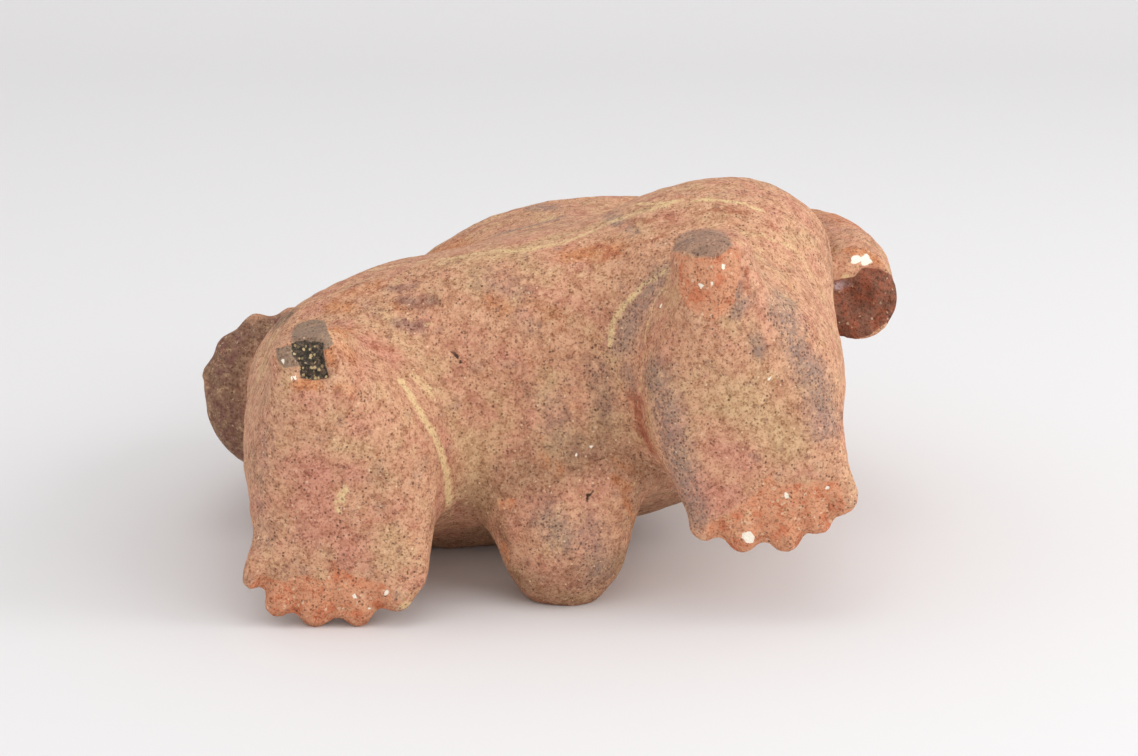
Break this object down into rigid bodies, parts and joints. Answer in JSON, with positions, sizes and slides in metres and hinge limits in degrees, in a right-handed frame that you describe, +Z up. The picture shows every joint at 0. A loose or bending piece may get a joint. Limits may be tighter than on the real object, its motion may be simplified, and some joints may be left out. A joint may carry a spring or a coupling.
{
  "type": "pre-columbian clay figure",
  "caption": "Hand-built fired-clay figure of a person lying face down: broad rolled body, short legs with the soles out, one hand lost, resting on toes, a stub, belly and brow.",
  "frame": {"origin": "on the floor, under the middle of the figure's box", "axes": "+Y from the soles of the feet to the crown of the head, +X to the figure's right hand side, +Z up from the belly to the back"},
  "size_m": [0.251, 0.3386, 0.137],
  "materials": {
    "fired_clay": "matte coarse buff-rose fired clay with dark specks, worn orange edges and traces of cream paint"
  },
  "bodies": {
    "root": {"clay_figure": "fired_clay"}
  },
  "joints": []
}
